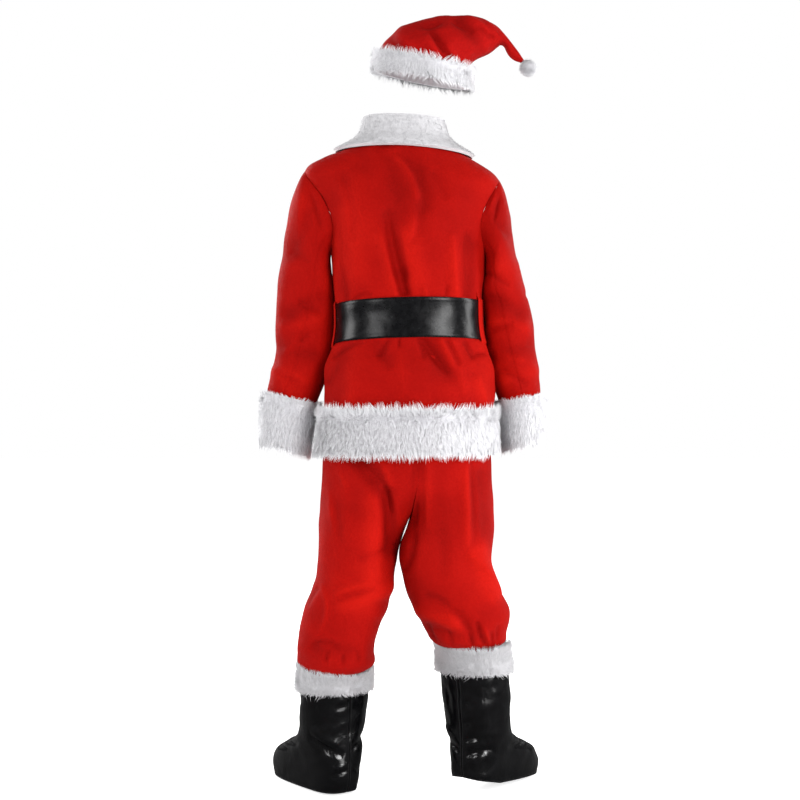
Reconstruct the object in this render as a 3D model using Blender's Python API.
"""Santa suit as it is worn: jacket, trousers, belt, hat and two boot covers, hollow and open.

Metres, +Z up. The suit faces -Y, so the wearer's left is +X and the back is +Y.
Tables give heights above the floor; one empty then moves the suit down, so that the
origin is at the wearer's shoulders, which carry it.

Every cloth piece is a wall: a grid whose points a surface function places, with an
outer and an inner side and rims between them.
"""

import math

import bmesh
import bpy
import numpy as np

# ---------------------------------------------------------------- driving sizes
SHOULDER_HEIGHT = 1.450   # origin above the floor
CLOTH = 0.0020            # red twill with its facing
VINYL = 0.0018            # boot cover sheet
PLUSH = 0.0160            # backing and pile of the white plush
STRAP = 0.0030            # belt
SEAM = 0.0004             # clear distance between two sewn pieces
LAID_ON = 0.0008          # clear distance under what lies on a panel
BELT_CLEAR = 0.0014       # the same under the belt

BELT_WIDTH = 0.090
LOOP = 0.0018             # doubled cloth of a belt loop
QUARTER = math.pi / 2
BACK_CELLS = 22                     # columns across the jacket's back
CELL_TURN = math.pi / BACK_CELLS    # every piece round the body keeps to these columns
FRONT_CELLS = 12
LAP_TURN = FRONT_CELLS * CELL_TURN - QUARTER   # half of the front overlap

ARMHOLE_MIDDLE = 1.336    # height of its centre
ARMHOLE_HALF = 0.090      # half of its height
ARMHOLE_TURN = math.radians(30.0)  # how far it reaches round to the back and the front
SHOULDER_TILT = 0.045     # rise of the wearer's left shoulder, per metre sideways

WAIST_CELLS = 11          # rows of the jacket panels from the hem to the armhole
ARMHOLE_CELLS = 8         # rows along the armhole, and half of a sleeve's columns
SHOULDER_CELLS = 2        # rows from the armhole to the collar's edge
NECK_CELLS = 2            # rows under the collar


def table(columns, rows):
    """Named columns of numbers, one row for each section or fold."""
    return dict(zip(columns.split(), np.array(rows, float).T))


# Sections of the body of the jacket, from the hem up to the neck.
TORSO = table("height left right back front", [
    (0.785, 0.195, 0.206, 0.142, 0.150),
    (0.885, 0.184, 0.204, 0.139, 0.146),
    (0.920, 0.183, 0.209, 0.137, 0.144),
    (0.955, 0.183, 0.207, 0.135, 0.142),
    (0.990, 0.177, 0.200, 0.128, 0.136),
    (1.015, 0.166, 0.191, 0.119, 0.129),
    (1.045, 0.158, 0.181, 0.114, 0.125),
    (1.125, 0.155, 0.174, 0.111, 0.122),
    (1.142, 0.156, 0.174, 0.112, 0.123),
    (1.160, 0.158, 0.175, 0.115, 0.124),
    (1.185, 0.160, 0.179, 0.119, 0.126),
    (1.227, 0.162, 0.182, 0.123, 0.127),
    (1.276, 0.168, 0.184, 0.126, 0.126),
    (1.320, 0.184, 0.192, 0.127, 0.122),
    (1.360, 0.204, 0.206, 0.123, 0.115),
    (1.394, 0.222, 0.216, 0.115, 0.105),
    (1.419, 0.228, 0.219, 0.107, 0.094),
    (1.439, 0.214, 0.203, 0.099, 0.084),
    (1.456, 0.184, 0.176, 0.092, 0.077),
    (1.472, 0.144, 0.145, 0.086, 0.073),
    (1.487, 0.113, 0.115, 0.080, 0.072),
    (1.504, 0.095, 0.096, 0.073, 0.072),
    (1.530, 0.085, 0.085, 0.068, 0.070),
    (1.565, 0.084, 0.084, 0.066, 0.070),
])

# Rings of a sleeve and its cuff: the point farthest from the body and the point nearest
# to it, then the middle and half of the ring's depth. Stations 9 to 11 are the cuff.
SLEEVE_LEFT = table("station outer_x outer_z inner_x inner_z middle depth", [
    (0, 0.240, 1.430, 0.167, 1.248, 0.002, 0.070),
    (1, 0.256, 1.396, 0.174, 1.230, 0.000, 0.077),
    (2, 0.263, 1.350, 0.172, 1.207, -0.005, 0.076),
    (3, 0.274, 1.293, 0.167, 1.177, -0.014, 0.073),
    (4, 0.285, 1.232, 0.162, 1.141, -0.026, 0.070),
    (5, 0.294, 1.172, 0.163, 1.102, -0.034, 0.067),
    (6, 0.297, 1.112, 0.163, 1.060, -0.038, 0.065),
    (7, 0.299, 1.050, 0.168, 1.016, -0.040, 0.063),
    (8, 0.303, 0.990, 0.184, 0.965, -0.042, 0.061),
    (9, 0.319, 0.927, 0.204, 0.900, -0.046, 0.058),
    (10, 0.324, 0.872, 0.220, 0.846, -0.052, 0.055),
    (11, 0.325, 0.812, 0.232, 0.784, -0.060, 0.052),
])
SLEEVE_RIGHT = table("station outer_x outer_z inner_x inner_z middle depth", [
    (0, -0.229, 1.409, -0.181, 1.240, 0.002, 0.070),
    (1, -0.238, 1.379, -0.190, 1.225, 0.001, 0.078),
    (2, -0.245, 1.335, -0.189, 1.202, -0.004, 0.079),
    (3, -0.255, 1.280, -0.184, 1.170, -0.012, 0.077),
    (4, -0.268, 1.222, -0.180, 1.137, -0.024, 0.074),
    (5, -0.281, 1.165, -0.187, 1.100, -0.033, 0.072),
    (6, -0.297, 1.107, -0.188, 1.060, -0.037, 0.070),
    (7, -0.304, 1.046, -0.194, 1.016, -0.039, 0.068),
    (8, -0.311, 0.986, -0.207, 0.965, -0.041, 0.065),
    (9, -0.318, 0.922, -0.221, 0.904, -0.044, 0.062),
    (10, -0.317, 0.866, -0.235, 0.852, -0.049, 0.057),
    (11, -0.311, 0.812, -0.242, 0.798, -0.055, 0.053),
])
SLEEVE_SEAM_TOP = math.radians(135.0)   # back seam at the armhole, turned from the outer side
SLEEVE_SEAM_WRIST = {1: math.radians(74.0), -1: math.radians(88.0)}
SLEEVE_CELLS = 13

# Sections of the trousers above the crotch; seam is the middle seam's place sideways.
HIPS = table("height seam left right back front", [
    (0.585, 0.006, 0.197, 0.209, 0.118, 0.116),
    (0.660, -0.020, 0.193, 0.205, 0.128, 0.126),
    (0.720, -0.030, 0.189, 0.203, 0.133, 0.132),
    (0.780, -0.034, 0.1864, 0.199, 0.1335, 0.137),
    (0.830, -0.033, 0.1832, 0.194, 0.1305, 0.136),
    (0.880, -0.029, 0.176, 0.187, 0.125, 0.132),
    (0.975, -0.016, 0.152, 0.170, 0.113, 0.121),
    (1.010, -0.011, 0.147, 0.164, 0.109, 0.117),
])
LEG_LEFT = table("height outer inner middle depth", [
    (0.236, 0.206, 0.108, -0.022, 0.044),
    (0.266, 0.208, 0.105, -0.021, 0.046),
    (0.294, 0.2130, 0.1050, -0.020, 0.0483),
    (0.309, 0.238, 0.074, -0.016, 0.074),
    (0.340, 0.245, 0.069, -0.008, 0.090),
    (0.370, 0.243, 0.064, -0.004, 0.094),
    (0.398, 0.238, 0.053, -0.002, 0.096),
    (0.426, 0.230, 0.039, 0.000, 0.097),
    (0.453, 0.222, 0.032, 0.001, 0.098),
    (0.481, 0.210, 0.025, 0.002, 0.100),
    (0.508, 0.202, 0.022, 0.002, 0.104),
    (0.536, 0.199, 0.018, 0.002, 0.108),
    (0.564, 0.198, 0.0135, 0.003, 0.112),
    (0.620, 0.196, -0.0055, 0.004, 0.120),
    (0.660, 0.193, -0.0190, 0.005, 0.126),
])
LEG_RIGHT = table("height outer inner middle depth", [
    (0.276, -0.204, -0.106, -0.022, 0.044),
    (0.310, -0.205, -0.101, -0.021, 0.046),
    (0.337, -0.2090, -0.1000, -0.020, 0.0483),
    (0.352, -0.230, -0.070, -0.014, 0.076),
    (0.380, -0.236, -0.050, -0.006, 0.092),
    (0.405, -0.243, -0.037, -0.002, 0.096),
    (0.430, -0.243, -0.023, 0.000, 0.097),
    (0.456, -0.230, -0.010, 0.002, 0.099),
    (0.481, -0.214, -0.002, 0.002, 0.102),
    (0.508, -0.202, 0.0035, 0.002, 0.105),
    (0.536, -0.199, 0.0100, 0.002, 0.109),
    (0.564, -0.202, 0.0110, 0.003, 0.113),
    (0.620, -0.208, -0.0075, 0.004, 0.121),
    (0.660, -0.205, -0.0208, 0.005, 0.126),
])
CROTCH_HEIGHT = 0.585
SEAT_HEIGHT = 0.730       # above this the section is one oval
THIGH_SLANT = 0.14        # sideways slant of the closed thighs, so that the right one laps
THIGH_FROM = 0.480        # over the left, and the height where that begins
PINCH = {1: (0.294, 0.309), -1: (0.337, 0.352)}   # where each leg slips into its boot cover
TUCK_DROP = {1: 0.022, -1: 0.004}   # and how much lower that is at the back than in front

# Sections of a boot cover along its own foot: reach to the toe, to the heel and to a side.
BOOT = table("height toe heel side roundness", [
    (0.002, 0.206, 0.067, 0.048, 2.80),
    (0.020, 0.213, 0.071, 0.051, 2.80),
    (0.045, 0.212, 0.074, 0.055, 2.80),
    (0.070, 0.198, 0.074, 0.057, 2.70),
    (0.092, 0.168, 0.073, 0.060, 2.60),
    (0.108, 0.132, 0.071, 0.064, 2.40),
    (0.122, 0.100, 0.069, 0.068, 2.30),
    (0.142, 0.079, 0.067, 0.073, 2.20),
    (0.180, 0.071, 0.066, 0.078, 2.20),
    (0.220, 0.069, 0.066, 0.082, 2.20),
    (0.250, 0.068, 0.066, 0.083, 2.20),
    (0.305, 0.066, 0.065, 0.079, 2.20),
])
BOOT_SHAFT_FROM = 0.150   # above this a taller cover is stretched
ANKLE_FORWARD = 0.036     # the ankles stand this far in front of the shoulders
LEAN_BACK = 0.10          # and the shafts lean back by this much per metre up
# One row for each foot: ankle sideways, lean sideways per metre up, the trim's edges in front
# with their drop at the back, and the hem's lift at the heel.
BOOTS = {
    "left": dict(side=1, ankle=0.166, lean=-0.05, trim_from=0.245, drop_from=0.005,
                 trim_to=0.298, heel_lift=0.004),
    "right": dict(side=-1, ankle=-0.172, lean=0.07, trim_from=0.286, drop_from=0.002,
                  trim_to=0.341, heel_lift=0.040),
}
TOES_OUT = math.radians(38.0)

# Rings of the hat, from the brim to the tip: upper point and lower point of the ring, then
# half of its depth. Stations 0 to 1 are the brim.
HAT = table("station upper_x upper_z lower_x lower_z depth", [
    (0, 0.066, 1.668, -0.150, 1.626, 0.096),
    (1, 0.061, 1.708, -0.151, 1.668, 0.096),
    (2, 0.043, 1.734, -0.155, 1.684, 0.096),
    (3, 0.026, 1.751, -0.168, 1.695, 0.092),
    (4, 0.008, 1.768, -0.182, 1.701, 0.086),
    (5, -0.030, 1.779, -0.193, 1.706, 0.077),
    (6, -0.060, 1.787, -0.202, 1.712, 0.067),
    (7, -0.090, 1.793, -0.211, 1.719, 0.058),
    (8, -0.140, 1.793, -0.218, 1.724, 0.049),
    (9, -0.175, 1.788, -0.223, 1.727, 0.041),
    (10, -0.200, 1.778, -0.228, 1.726, 0.033),
    (11, -0.221, 1.763, -0.233, 1.720, 0.025),
    (12, -0.244, 1.737, -0.241, 1.704, 0.018),
    (13, -0.264, 1.711, -0.254, 1.692, 0.012),
    (14, -0.277, 1.692, -0.270, 1.686, 0.005),
])
HAT_DEPTH_MIDDLE = -0.010
HAT_TILT = 0.010          # drop of the brim at the back, and its rise in front
POMPOM_AT = (-0.2862, HAT_DEPTH_MIDDLE, 1.6738)
POMPOM_RADIUS = 0.0195

# Folds, each a line on a panel from one end to the other, seen from behind or in front.
# A negative rise is a trough.
FOLDS_BACK = table("x1 z1 x2 z2 width rise", [
    (0.036, 1.318, 0.006, 1.190, 0.016, -0.0070),
    (0.006, 1.190, -0.004, 1.135, 0.014, -0.0070),
    (0.042, 1.480, 0.000, 1.310, 0.022, -0.0040),
    (-0.018, 1.300, -0.034, 1.180, 0.020, 0.0050),
    (-0.150, 1.255, -0.146, 1.150, 0.018, -0.0060),
    (0.122, 1.380, 0.118, 1.200, 0.030, 0.0050),
    (0.066, 1.045, 0.036, 0.990, 0.014, -0.0045),
    (-0.048, 1.045, -0.100, 0.965, 0.018, -0.0060),
    (-0.098, 1.045, -0.125, 0.935, 0.020, 0.0050),
    (0.110, 1.030, 0.120, 0.900, 0.024, 0.0040),
])
FOLDS_FRONT = table("x1 z1 x2 z2 width rise", [
    (0.090, 1.330, 0.070, 1.150, 0.022, -0.0055),
    (-0.095, 1.320, -0.080, 1.150, 0.024, -0.0050),
    (0.125, 1.240, 0.115, 1.140, 0.018, 0.0040),
    (0.080, 1.030, 0.105, 0.920, 0.020, -0.0050),
    (-0.070, 1.030, -0.100, 0.930, 0.022, 0.0050),
    (-0.130, 1.030, -0.150, 0.920, 0.018, -0.0045),
])
FOLDS_TROUSERS_BACK = table("x1 z1 x2 z2 width rise", [
    (0.113, 0.790, 0.040, 0.700, 0.022, -0.0080),
    (0.034, 0.700, 0.026, 0.570, 0.018, -0.0080),
    (0.066, 0.680, 0.070, 0.520, 0.026, 0.0070),
    (0.136, 0.452, 0.035, 0.480, 0.018, 0.0070),
    (0.200, 0.345, 0.120, 0.345, 0.016, -0.0060),
    (-0.170, 0.560, -0.198, 0.470, 0.022, 0.0080),
    (-0.037, 0.430, -0.105, 0.410, 0.018, 0.0070),
    (-0.105, 0.410, -0.140, 0.375, 0.018, 0.0060),
    (-0.060, 0.395, -0.130, 0.372, 0.014, -0.0060),
    (-0.175, 0.740, -0.186, 0.610, 0.018, -0.0060),
])
FOLDS_TROUSERS_FRONT = table("x1 z1 x2 z2 width rise", [
    (0.100, 0.760, 0.020, 0.690, 0.022, -0.0070),
    (-0.130, 0.760, -0.050, 0.690, 0.024, -0.0070),
    (0.110, 0.640, 0.105, 0.500, 0.026, 0.0060),
    (-0.110, 0.640, -0.115, 0.500, 0.026, 0.0060),
    (0.200, 0.460, 0.090, 0.430, 0.020, -0.0070),
    (-0.200, 0.470, -0.080, 0.440, 0.020, -0.0070),
    (0.210, 0.370, 0.100, 0.355, 0.016, 0.0060),
    (-0.200, 0.405, -0.080, 0.395, 0.016, 0.0060),
])
FOLDS_SLEEVE = table("x1 z1 x2 z2 width rise", [
    (0.215, 1.330, 0.262, 1.240, 0.020, -0.0045),
    (0.190, 1.140, 0.262, 1.110, 0.018, -0.0055),
    (0.205, 1.090, 0.275, 1.075, 0.016, 0.0045),
    (0.205, 1.010, 0.285, 1.030, 0.018, -0.0050),
    (0.232, 0.955, 0.300, 0.975, 0.016, 0.0040),
])
FOLDS_HAT = table("x1 z1 x2 z2 width rise", [
    (-0.062, 1.742, -0.093, 1.690, 0.012, -0.0060),
    (-0.097, 1.684, -0.134, 1.658, 0.012, -0.0050),
    (-0.038, 1.754, -0.084, 1.765, 0.012, -0.0040),
    (-0.120, 1.770, -0.165, 1.722, 0.014, -0.0060),
    (0.010, 1.740, -0.020, 1.700, 0.014, 0.0040),
])

# ---------------------------------------------------------------- finishes
RED = dict(color=(0.560, 0.010, 0.012), roughness=0.78, metallic=0.0)
WHITE = dict(color=(0.820, 0.835, 0.850), roughness=0.95, metallic=0.0)
BLACK = dict(color=(0.012, 0.012, 0.014), roughness=0.38, metallic=0.0)
GLOSS = dict(color=(0.010, 0.010, 0.011), roughness=0.24, metallic=0.0)
METAL = dict(color=(0.700, 0.560, 0.260), roughness=0.30, metallic=1.0)


def material(name, finish):
    """One Principled material, made once and then shared."""
    made = bpy.data.materials.get(name)
    if made is None:
        made = bpy.data.materials.new(name)
        made.use_nodes = True
        shader = made.node_tree.nodes["Principled BSDF"]
        shader.inputs["Base Color"].default_value = (*finish["color"], 1.0)
        shader.inputs["Roughness"].default_value = finish["roughness"]
        shader.inputs["Metallic"].default_value = finish["metallic"]
    return made


# ---------------------------------------------------------------- surface tools
def along(rows, column, at):
    """A smooth curve through one column, whose positions are the table's first column."""
    places = next(iter(rows.values()))
    values = rows[column]
    slopes = np.gradient(values, places)
    at = np.clip(at, places[0], places[-1])
    k = np.clip(np.searchsorted(places, at) - 1, 0, len(places) - 2)
    span = places[k + 1] - places[k]
    w = (at - places[k]) / span
    start = (1 + 2 * w) * (1 - w) ** 2 * values[k] + w * (1 - w) ** 2 * span * slopes[k]
    end = w * w * (3 - 2 * w) * values[k + 1] + w * w * (w - 1) * span * slopes[k + 1]
    return start + end


def step(low, high, at):
    """Smooth step from 0 at low to 1 at high."""
    w = np.clip((at - low) / (high - low), 0, 1)
    return w * w * (3 - 2 * w)


def mix(a, b, weight):
    """Straight blend of two values or two sets of points."""
    return a + (b - a) * weight


def oval(turn, left, right, back, front, power=2.35):
    """Point of a rounded oval; turn 0 is at the left, a quarter turn at the back."""
    c, s = np.cos(turn), np.sin(turn)
    fill = (np.abs(c) ** power + np.abs(s) ** power) ** (-1 / power)
    x = np.where(c > 0, left, right) * c * fill
    y = np.where(s > 0, back, front) * s * fill
    return x, y


def points(x, y, z):
    """Three coordinates as one array of points."""
    return np.stack(np.broadcast_arrays(x, y, z), axis=-1)


def relief(at, folds):
    """Height of all folds of a table at points seen along Y."""
    total = np.zeros(at.shape[:-1])
    for x1, z1, x2, z2, width, rise in zip(*folds.values()):
        run_x, run_z = x2 - x1, z2 - z1
        from_x, from_z = at[..., 0] - x1, at[..., 2] - z1
        w = np.clip((from_x * run_x + from_z * run_z) / (run_x**2 + run_z**2), 0, 1)
        off = np.hypot(from_x - w * run_x, from_z - w * run_z)
        total += rise * np.exp(-((off / width) ** 2))
    return total


def normals(surface, u, v, centre):
    """Unit normals of a surface, pointing away from the middle of the piece."""
    e = 1e-4
    across = surface(u + e, v) - surface(u - e, v)
    up = surface(u, v + e) - surface(u, v - e)
    n = np.cross(across, up)
    n /= np.linalg.norm(n, axis=-1, keepdims=True)
    away = np.sum(n * (surface(u, v) - centre))
    return n if away > 0 else -n


def wall(name, surface, cells, finish, outside=0.0, inside=-CLOTH, ring=False, lift=None):
    """A closed wall on a surface, from outside to inside (both measured along its normal).

    surface(u, v) takes arrays from 0 to 1. A ring is joined end to end along u. The
    offsets are numbers or functions of (u, v, point). lift(u, v) may give other normals.
    """
    columns, rows = cells
    mesh = bmesh.new()
    bmesh.ops.create_grid(mesh, x_segments=columns, y_segments=rows, size=0.5)
    u_of, v_of = (mesh.verts.layers.float.new(key) for key in "uv")
    for vert in mesh.verts:
        vert[u_of] = vert.co.x + 0.5
        vert[v_of] = vert.co.y + 0.5
    if ring:
        for vert in mesh.verts:
            turn = 2 * math.pi * vert[u_of]
            vert.co = (math.cos(turn), math.sin(turn), vert[v_of])
        bmesh.ops.remove_doubles(mesh, verts=mesh.verts, dist=1e-5)
    sheet = list(mesh.verts)
    grown = bmesh.ops.extrude_face_region(mesh, geom=mesh.faces[:], use_keep_orig=True)["geom"]
    lining = [item for item in grown if isinstance(item, bmesh.types.BMVert)]
    for verts, offset in ((sheet, outside), (lining, inside)):
        u = np.array([vert[u_of] for vert in verts])
        v = np.array([vert[v_of] for vert in verts])
        base = surface(u, v)
        out = lift(u, v) if lift else normals(surface, u, v, base.mean(axis=0))
        far = offset(u, v, base) if callable(offset) else offset
        placed = base + out * np.reshape(far, (-1, 1))
        for vert, co in zip(verts, placed):
            vert.co = co
    return add_object(name, mesh, finish)


def add_object(name, mesh, finish):
    """Store a bmesh as one named object with its finish, smooth but for its rims."""
    bmesh.ops.recalc_face_normals(mesh, faces=mesh.faces)
    if mesh.calc_volume(signed=True) < 0:
        bmesh.ops.reverse_faces(mesh, faces=mesh.faces)
    data = bpy.data.meshes.new(name)
    mesh.to_mesh(data)
    mesh.free()
    data.shade_smooth()
    data.set_sharp_from_angle(angle=math.radians(50))
    data.materials.append(material(*finish))
    thing = bpy.data.objects.new(name, data)
    bpy.context.scene.collection.objects.link(thing)
    thing.parent = bpy.data.objects["suit"]
    return thing


RED_TWILL = ("red_twill", RED)
RED_HAT = ("red_hat_cloth", RED)
WHITE_PLUSH = ("white_plush", WHITE)
BLACK_BELT = ("black_belt", BLACK)
BLACK_VINYL = ("black_vinyl", GLOSS)
BUCKLE_METAL = ("buckle_metal", METAL)


def pile(thickness):
    """Offset of plush: thin at its two edges and full between them."""
    return lambda u, v, at: thickness * (0.30 + 0.70 * np.sqrt(1 - np.abs(2 * v - 1) ** 3.0))


# ---------------------------------------------------------------- jacket
def torso(turn, height):
    """Body of the jacket, with the left shoulder a little higher."""
    sizes = [along(TORSO, side, height) for side in ("left", "right", "back", "front")]
    x, y = oval(turn, *sizes)
    z = height + SHOULDER_TILT * x * step(1.15, 1.40, height)
    return points(x, y, z)


def front_drop(turn):
    """How much lower the neck lies at the middle of the front."""
    return 0.060 * step(0.55, 1.0, -np.sin(turn))


def collar_edge(turn):
    """Height of the collar's outer edge: level at the back, low on the chest."""
    return 1.479 - 0.012 * np.cos(turn) ** 2 - 1.1 * front_drop(turn)


def neckline(turn):
    """Height of the neck opening of the jacket panels."""
    return 1.505 - 0.4 * front_drop(turn)


def jacket_rows():
    """Row places of a jacket panel from 0 to 1, and the height or stage of each."""
    below = np.linspace(HEM_TOP, ARMHOLE_MIDDLE - ARMHOLE_HALF, WAIST_CELLS, endpoint=False)
    swing = np.linspace(math.pi, 0, ARMHOLE_CELLS, endpoint=False)
    beside = ARMHOLE_MIDDLE + ARMHOLE_HALF * np.cos(swing)
    above = ARMHOLE_MIDDLE + ARMHOLE_HALF + np.arange(SHOULDER_CELLS + NECK_CELLS + 1)
    return np.concatenate([below, beside, above])


HEM_TOP = 0.884
HEM_BOTTOM = 0.790
BODY_MIDDLE = np.array([0.0, 0.0, 1.2])
JACKET_ROWS = jacket_rows()
SHOULDER_TOP = ARMHOLE_MIDDLE + ARMHOLE_HALF


def jacket_height(v, turn):
    """Height of a panel row: level up to the armhole, then drawn to the collar and neck."""
    row = np.interp(v, np.linspace(0, 1, len(JACKET_ROWS)), JACKET_ROWS)
    stage = row - SHOULDER_TOP
    to_collar = np.clip(stage / SHOULDER_CELLS, 0, 1)
    to_neck = np.clip((stage - SHOULDER_CELLS) / NECK_CELLS, 0, 1)
    chest = np.minimum(row, SHOULDER_TOP)
    chest = chest - front_drop(turn) * step(1.20, SHOULDER_TOP, chest)
    shoulder = mix(chest, collar_edge(turn), to_collar)
    return mix(shoulder, neckline(turn), to_neck)


def armhole_turn(v):
    """How far the armhole eats into a panel at a row."""
    row = np.interp(v, np.linspace(0, 1, len(JACKET_ROWS)), JACKET_ROWS)
    off = np.clip((row - ARMHOLE_MIDDLE) / ARMHOLE_HALF, -1, 1)
    return ARMHOLE_TURN * np.sqrt(1 - off**2)


def near_side(u, reach):
    """1 at a panel's side edge, fading to 0 within reach, so that far columns stay straight."""
    return np.clip(1 - u / reach, 0, 1) ** 1.5


def back_turn(u, v):
    """Turn of a back column, from the wearer's left side seam to the right one."""
    cut = armhole_turn(v) * (near_side(u, 0.4) - near_side(1 - u, 0.4))
    return mix(SIDE_SEAM, math.pi - SIDE_SEAM, u) + cut


def front_turn(side, u, v):
    """Turn of a front panel's column, from its side seam to its edge past the middle."""
    turn = mix(-SIDE_SEAM, -QUARTER - LAP_TURN, u) - armhole_turn(v) * near_side(u, 0.7)
    return turn if side > 0 else math.pi - turn


def body_wall(name, turn_at, height_at, cells, finish, outside, inside=-CLOTH):
    """A wall on the torso: turn_at(u, v) and height_at(v, turn) place its points."""
    def surface(u, v):
        turn = turn_at(u, v)
        return torso(turn, height_at(v, turn))

    def lift(u, v):
        turn = turn_at(u, v)
        return normals(torso, turn, height_at(v, turn), BODY_MIDDLE)
    return wall(name, surface, cells, finish, outside, inside, lift=lift)


SIDE_SEAM = SEAM / 2 / 0.17     # half of a seam's gap as a turn


def beside_belt(at):
    """0 under the belt, where the cloth is pressed flat, and 1 away from it."""
    middle = belt_middle(np.arctan2(at[..., 1], at[..., 0]))
    off = np.abs(at[..., 2] - middle) - BELT_WIDTH / 2
    return step(0.014, 0.042, off)


def lap_rise(turn):
    """How far the left front stands off the body to pass over the right one."""
    off = np.abs(np.mod(turn, 2 * math.pi) - 3 * QUARTER)
    return (CLOTH + LAID_ON) * step(LAP_TURN + 2 * CELL_TURN, LAP_TURN + 0.2 * CELL_TURN, off)


def make_jacket():
    """Back, two fronts and their folds."""
    rows = len(JACKET_ROWS) - 1

    def folded(folds, extra=0.0, lap=False):
        def offset(u, v, at):
            fade = step(0.0, 0.10, u) * step(1.0, 0.90, u) * step(0.0, 0.04, v) * beside_belt(at)
            rise = relief(at, folds) * fade + extra
            return rise + lap_rise(front_turn(1, u, v)) if lap else rise
        return offset

    body_wall("jacket_back", back_turn, jacket_height, (BACK_CELLS, rows), RED_TWILL,
              folded(FOLDS_BACK), folded(FOLDS_BACK, -CLOTH))
    for name, side in (("left", 1), ("right", -1)):
        lap = side > 0
        body_wall(f"jacket_front_{name}", lambda u, v, side=side: front_turn(side, u, v),
                  jacket_height, (FRONT_CELLS, rows), RED_TWILL,
                  folded(FOLDS_FRONT, 0.0, lap), folded(FOLDS_FRONT, -CLOTH, lap))


def armhole(side, swing):
    """Loop of the armhole; swing 0 is its top and a quarter turn its back."""
    turn = (ARMHOLE_TURN - SEAM / 0.15) * np.sin(swing)
    height = ARMHOLE_MIDDLE + (ARMHOLE_HALF - SEAM) * np.cos(swing)
    return turn if side > 0 else math.pi - turn, height


def sleeve_ring(rows, station, swing):
    """Ring of a sleeve; swing 0 is its outer side and a quarter turn its back."""
    outer = points(along(rows, "outer_x", station), 0, along(rows, "outer_z", station))
    inner = points(along(rows, "inner_x", station), 0, along(rows, "inner_z", station))
    depth = along(rows, "depth", station) * np.sin(swing)
    level = (outer + inner) / 2 + (outer - inner) / 2 * np.cos(swing)[..., None]
    return level + points(0, along(rows, "middle", station) + depth, 0)


def sleeve(side, rows, station, swing):
    """Sleeve surface: it starts as the armhole loop and turns into its own rings."""
    start = torso(*armhole(side, swing))
    ring = sleeve_ring(rows, station, swing)
    return mix(start, ring, step(0.0, 2.2, station)[..., None])


def make_sleeve(name, side, rows):
    """Outer and under piece of one sleeve, and its plush cuff."""
    folds = dict(FOLDS_SLEEVE)
    folds["x1"] = folds["x1"] * side
    folds["x2"] = folds["x2"] * side
    last = 9.0

    def panel(outer_piece):
        def swing_at(u, v):
            seam = mix(SLEEVE_SEAM_TOP, SLEEVE_SEAM_WRIST[side], v)
            gap = SEAM / 2 / 0.045
            if outer_piece:
                return mix(gap - seam, seam - gap, u)
            return mix(seam + gap, 2 * math.pi - seam - gap, u)

        def surface(u, v):
            return sleeve(side, rows, np.maximum(v, 0) * (last - SEAM / 0.06), swing_at(u, v))

        def lift(u, v):
            own = normals(surface, u, v, surface(u, v).mean(axis=0))
            turn, height = armhole(side, swing_at(u, v))
            body = normals(torso, turn, height, BODY_MIDDLE)
            turned = step(0.7, 0.1, np.sum(body * own, axis=-1))
            out = mix(body, own, np.maximum(step(0.0, 0.10, v), turned)[..., None])
            return out / np.linalg.norm(out, axis=-1, keepdims=True)
        return surface, lift

    def folded(extra):
        return lambda u, v, at: relief(at, folds) * step(0.03, 0.2, v) * step(1, 0.9, v) + extra

    for piece, is_outer, columns in (("outer", True, 12), ("under", False, 4)):
        surface, lift = panel(is_outer)
        wall(f"sleeve_{name}_{piece}", surface, (columns, SLEEVE_CELLS), RED_TWILL,
             folded(0.0), folded(-CLOTH), lift=lift)

    def cuff(u, v):
        return sleeve_ring(rows, mix(last + SEAM / 0.06, 11.0, v), 2 * math.pi * u)
    wall(f"cuff_{name}", cuff, (16, 3), WHITE_PLUSH, pile(PLUSH), -CLOTH, ring=True)


COLLAR_TOP = 1.553
COLLAR_FRONT_DROP = 0.020


def make_collar():
    """Plush collar that lies on the shoulders and stands round the neck."""
    stand_cells = 2
    cells = NECK_CELLS + stand_cells
    lapel = math.radians(1.5)
    columns = 2 * BACK_CELLS

    def turn_at(u, v):
        return mix(-QUARTER + lapel, 3 * QUARTER - lapel, u)

    def height_at(v, turn):
        stage = v * cells
        low = mix(collar_edge(turn), neckline(turn), np.clip(stage / NECK_CELLS, 0, 1))
        stand = np.clip((stage - NECK_CELLS) / stand_cells, 0, 1)
        top = COLLAR_TOP - COLLAR_FRONT_DROP * step(0.0, 1.0, -np.sin(turn))
        return mix(low, top, stand)

    def outside(u, v, at):
        return LAID_ON + CLOTH + pile(PLUSH)(u, 0.06 + 0.88 * v, at)

    body_wall("collar", turn_at, height_at, (columns, cells), WHITE_PLUSH, outside,
              CLOTH + 2 * LAID_ON)


def make_hem_band():
    """Plush band along the hem, in three pieces that follow the panels."""
    edge = -QUARTER - LAP_TURN
    pieces = (("back", 0, math.pi, BACK_CELLS), ("front_left", edge, 0, FRONT_CELLS),
              ("front_right", math.pi, 2 * math.pi + edge, FRONT_CELLS - 2))
    for name, start, end, columns in pieces:
        body_wall(f"hem_band_{name}",
                  lambda u, v, start=start, end=end: mix(start + SIDE_SEAM, end - SIDE_SEAM, u),
                  lambda v, turn: mix(HEM_BOTTOM, HEM_TOP - SEAM, v),
                  (columns, 3), WHITE_PLUSH, pile(PLUSH))


# ---------------------------------------------------------------- belt
BELT_CELLS = 49
BUCKLE_TURN = math.radians(19.0)   # half of the frame's width, as a turn
BUCKLE_OVER = 0.11                 # how far the frame passes the strap's edges, of its width
BUCKLE_THICK = 0.0035
PRONG_THICK = 0.0025
BELT_START = -FRONT_CELLS * CELL_TURN
BELT_END = BELT_START + BELT_CELLS * CELL_TURN


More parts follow.
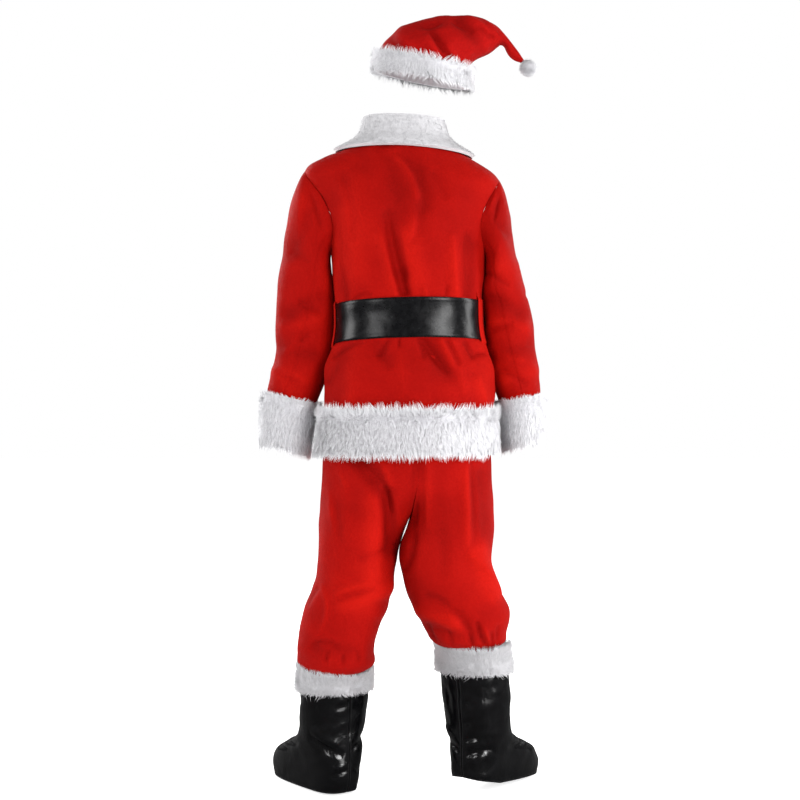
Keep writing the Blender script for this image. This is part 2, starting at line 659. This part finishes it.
def belt_middle(turn):
    """Height of the belt's middle line: it sags at the sides and the front."""
    return 1.083 + 0.010 * np.sin(turn) - 0.004 * np.cos(turn)


def belt_rise(turn):
    """Stand-off of the strap: over the front's lap, and over its own first end."""
    end = 2 * math.pi + BELT_START
    over = step(end - 1.5 * CELL_TURN, end - 0.2 * CELL_TURN, turn)
    return BELT_CLEAR + lap_rise(turn) + over * (STRAP + LAID_ON)


def belt_point(turn, across):
    """Point of the jacket under the belt, across from its lower to its upper edge."""
    return torso(turn, belt_middle(turn) + (across - 0.5) * BELT_WIDTH)


def make_belt():
    """Strap and a plain rectangular buckle with its prong."""
    def strap(u, v):
        return belt_point(mix(BELT_START, BELT_END, u), v)

    def inside(u, v, at):
        return belt_rise(mix(BELT_START, BELT_END, u))

    def outside(u, v, at):
        return inside(u, v, at) + STRAP

    wall("belt_strap", strap, (BELT_CELLS, 2), BLACK_BELT, outside, inside,
         lift=lambda u, v: radial(strap(u, v)))
    front = 3 * QUARTER
    top = BELT_CLEAR + CLOTH + LAID_ON + 2 * STRAP + 2 * LAID_ON

    def plate(turn_from, turn_to, low, high):
        return lambda u, v: belt_point(mix(turn_from, turn_to, u), mix(low, high, v))

    half = BUCKLE_TURN
    frame = plate(front - half, front + half, -BUCKLE_OVER, 1 + BUCKLE_OVER)
    make_frame("buckle_frame", frame, top, top + BUCKLE_THICK)
    prong = plate(front - 0.69 * half, front + 0.69 * half, 0.46, 0.54)
    wall("buckle_prong", prong, (6, 1), BUCKLE_METAL, top + PRONG_THICK, top,
         lift=lambda u, v: radial(prong(u, v)))


# Rows of a belt loop, from the belt's middle line: 0 is sewn to the jacket, 1 is on the belt.
LOOP_ROWS = table("across stand", [
    (-0.061, 0), (-0.055, 0), (-0.0475, 1), (0.0, 1), (0.0475, 1), (0.055, 0), (0.061, 0),
])
LOOPS = {"left": (-0.5, 2.0), "right": (19.0, 21.5)}   # edges, in columns of the jacket's back


def make_belt_loops():
    """Strips sewn down above and below the belt at the side seams; the belt runs under them."""
    rows = len(LOOP_ROWS["across"]) - 1

    def row(key, v):
        return np.interp(v * rows, np.arange(rows + 1), LOOP_ROWS[key])

    def inside(u, v, at):
        return LAID_ON + row("stand", v) * (BELT_CLEAR + STRAP)

    def outside(u, v, at):
        return inside(u, v, at) + LOOP

    for name, (first, last) in LOOPS.items():
        def strip(u, v, first=first, last=last):
            turn = CELL_TURN * mix(first, last, u)
            return torso(turn, belt_middle(turn) + row("across", v))

        wall(f"belt_loop_{name}", strip, (round(2 * (last - first)), rows), RED_TWILL,
             outside, inside, lift=lambda u, v, strip=strip: radial(strip(u, v)))


def radial(at):
    """Level directions away from the body's middle line."""
    out = at * np.array([1.0, 1.0, 0.0])
    return out / np.linalg.norm(out, axis=-1, keepdims=True)


def make_frame(name, surface, inside, outside):
    """A rectangular ring that follows a surface: a grid without its middle cells."""
    cells = 8
    mesh = bmesh.new()
    bmesh.ops.create_grid(mesh, x_segments=cells, y_segments=cells, size=0.5)
    reach = 0.5 - 1.01 / cells
    window = [face for face in mesh.faces
              if max(abs(face.calc_center_median().x), abs(face.calc_center_median().y)) < reach]
    bmesh.ops.delete(mesh, geom=window, context="FACES")
    flat = {vert: vert.co.copy() for vert in mesh.verts}
    grown = bmesh.ops.extrude_face_region(mesh, geom=mesh.faces[:], use_keep_orig=True)["geom"]
    back = [item for item in grown if isinstance(item, bmesh.types.BMVert)]
    for verts, offset in ((list(flat), outside), (back, inside)):
        u = np.array([vert.co.x + 0.5 for vert in verts])
        v = np.array([vert.co.y + 0.5 for vert in verts])
        base = surface(u, v)
        placed = base + radial(base) * offset
        for vert, co in zip(verts, placed):
            vert.co = co
    return add_object(name, mesh, BUCKLE_METAL)


# ---------------------------------------------------------------- trousers
def trouser_leg(side, half):
    """Surface of a quarter of the trousers, from the side seam to the middle or inseam.

    side is +1 for the left leg, half is +1 for the back. v is the height from 0 to 1.
    """
    leg = LEG_LEFT if side > 0 else LEG_RIGHT
    hem, waist = leg["height"][0], WAISTBAND_BOTTOM - SEAM
    inside, above = PINCH[side]
    free = np.linspace(above, waist, TROUSER_CELLS - 1)
    heights = np.concatenate([[hem, inside], free])

    def surface(u, v):
        height = np.interp(v, np.linspace(0, 1, len(heights)), heights)
        u = mix(0.0007, 0.9993, u)
        seam = along(HIPS, "seam", height)
        reach = along(HIPS, "left" if side > 0 else "right", height) - side * seam
        depth = along(HIPS, "back" if half > 0 else "front", height)
        hip_x, hip_y = oval(QUARTER * u, reach, reach, depth, depth)
        hip = points(seam + side * hip_x, half * hip_y, height)
        outer, inner = along(leg, "outer", height), along(leg, "inner", height)
        around, out = oval(math.pi * u, 1.0, 1.0, 1.0, 1.0, 2.15)
        leg_x = (outer + inner) / 2 + (outer - inner) / 2 * around
        leg_y = along(leg, "middle", height) + half * along(leg, "depth", height) * out
        slant = THIGH_SLANT * step(THIGH_FROM, CROTCH_HEIGHT, height)
        leg_x = leg_x + slant * leg_y * (0.5 - 0.5 * around)
        sunk = TUCK_DROP[side] * (0.5 + 0.5 * half * out) * step(above + 0.11, above, height)
        return mix(points(leg_x, leg_y, height - sunk), hip,
                   step(CROTCH_HEIGHT, SEAT_HEIGHT, height)[..., None])
    return surface


TROUSER_CELLS = 20
WAISTBAND_BOTTOM = 0.978
WAISTBAND_TOP = 1.008


def make_trousers():
    """Four leg panels and the elastic waistband."""
    for name, side in (("left", 1), ("right", -1)):
        for part, half in (("back", 1), ("front", -1)):
            folds = FOLDS_TROUSERS_BACK if half > 0 else FOLDS_TROUSERS_FRONT

            def folded(extra, folds=folds):
                return lambda u, v, at: (relief(at, folds) * step(0, 0.12, u) * step(1, 0.88, u)
                                         * step(0.10, 0.20, v) + extra)
            wall(f"trouser_{name}_{part}", trouser_leg(side, half), (7, TROUSER_CELLS), RED_TWILL,
                 folded(0.0), folded(-CLOTH))

    def band(u, v):
        height = mix(WAISTBAND_BOTTOM, WAISTBAND_TOP, v)
        sizes = [along(HIPS, key, height) for key in ("left", "right", "back", "front")]
        return points(*oval(2 * math.pi * u, *sizes), height)
    wall("trouser_waistband", band, (28, 1), RED_TWILL, 0.0015, -CLOTH, ring=True)


# ---------------------------------------------------------------- hat
def hat_ring(station, swing):
    """Ring of the hat; swing 0 is its upper point and a quarter turn its back."""
    upper = points(along(HAT, "upper_x", station), 0, along(HAT, "upper_z", station))
    lower = points(along(HAT, "lower_x", station), 0, along(HAT, "lower_z", station))
    depth = HAT_DEPTH_MIDDLE + along(HAT, "depth", station) * np.sin(swing)
    level = (upper + lower) / 2 + (upper - lower) / 2 * np.cos(swing)[..., None]
    tilt = HAT_TILT * np.sin(swing) * step(6.0, 1.0, station)
    return level + points(0, depth, -tilt)


def make_hat():
    """Back and front cone panels, plush brim and pompom."""
    crown_from, crown_to = 1.0 + SEAM / 0.04, 14.0

    def panel(half):
        def surface(u, v):
            return hat_ring(mix(crown_from, crown_to, v), half * math.pi * mix(0.001, 0.999, u))
        return surface

    def folded(extra):
        return lambda u, v, at: (relief(at, FOLDS_HAT) * step(0, 0.15, u) * step(1, 0.85, u)
                                 * step(0, 0.08, v) + extra)

    for name, half in (("hat_back", 1), ("hat_front", -1)):
        wall(name, panel(half), (8, 15), RED_HAT, folded(0.0), folded(-CLOTH * 0.6))

    def brim(u, v):
        return hat_ring(v, 2 * math.pi * u)
    wall("hat_brim", brim, (20, 3), WHITE_PLUSH, pile(PLUSH), -CLOTH, ring=True)

    mesh = bmesh.new()
    bmesh.ops.create_icosphere(mesh, subdivisions=2, radius=POMPOM_RADIUS)
    pompom = add_object("hat_pompom", mesh, WHITE_PLUSH)
    pompom.location = POMPOM_AT


# ---------------------------------------------------------------- boot covers
def boot_surface(place):
    """Surface of one boot cover; turn 0 is the heel and half a turn the toe."""
    side = place["side"]
    toe = np.array([side * math.sin(TOES_OUT), -math.cos(TOES_OUT)])
    outward = np.array([side * math.cos(TOES_OUT), math.sin(TOES_OUT)])
    stretch = (place["trim_to"] - BOOT_SHAFT_FROM) / (BOOT["height"][-1] - BOOT_SHAFT_FROM)

    def surface(turn, height):
        drawn = np.where(height < BOOT_SHAFT_FROM, height,
                         BOOT_SHAFT_FROM + (height - BOOT_SHAFT_FROM) / stretch)
        along_foot, aside = oval(turn, along(BOOT, "heel", drawn), along(BOOT, "toe", drawn),
                                 along(BOOT, "side", drawn), along(BOOT, "side", drawn),
                                 along(BOOT, "roundness", drawn))
        rise = height - BOOT_SHAFT_FROM
        x = place["ankle"] + place["lean"] * rise - along_foot * toe[0] + aside * outward[0]
        y = LEAN_BACK * rise - ANKLE_FORWARD - along_foot * toe[1] + aside * outward[1]
        return points(x, y, height)
    return surface


def make_boot_cover(name, place):
    """Outer and inner side panel, and the plush trim at the top."""
    cover = boot_surface(place)

    def heelward(turn):
        return 0.5 + 0.5 * np.cos(turn)

    def hem(turn):
        return 0.003 + place["heel_lift"] * heelward(turn)

    def trim_edge(turn):
        return place["trim_from"] - place["drop_from"] * heelward(turn)

    def top(turn):
        return place["trim_to"] - TUCK_DROP[place["side"]] * heelward(turn)

    def panel(sign):
        def surface(u, v):
            turn = sign * math.pi * mix(0.002, 0.998, u)
            rise = mix(0.65 * v, v, v)
            return cover(turn, mix(hem(turn), trim_edge(turn) - SEAM, rise))
        return surface

    for piece, sign in (("outer", 1), ("inner", -1)):
        wall(f"boot_{name}_{piece}", panel(sign), (9, 11), BLACK_VINYL, 0.0, -VINYL)

    def trim(u, v):
        turn = 2 * math.pi * u
        return cover(turn, mix(trim_edge(turn), top(turn), v))
    wall(f"boot_trim_{name}", trim, (18, 3), WHITE_PLUSH, pile(PLUSH), -VINYL, ring=True)


# ---------------------------------------------------------------- suit
def main():
    for thing in list(bpy.data.objects):
        bpy.data.objects.remove(thing)
    suit = bpy.data.objects.new("suit", None)
    bpy.context.scene.collection.objects.link(suit)
    suit.location = (0.0, 0.0, -SHOULDER_HEIGHT)

    make_jacket()
    make_sleeve("left", 1, SLEEVE_LEFT)
    make_sleeve("right", -1, SLEEVE_RIGHT)
    make_collar()
    make_hem_band()
    make_belt()
    make_belt_loops()
    make_trousers()
    make_hat()
    for name, place in BOOTS.items():
        make_boot_cover(name, place)


main()
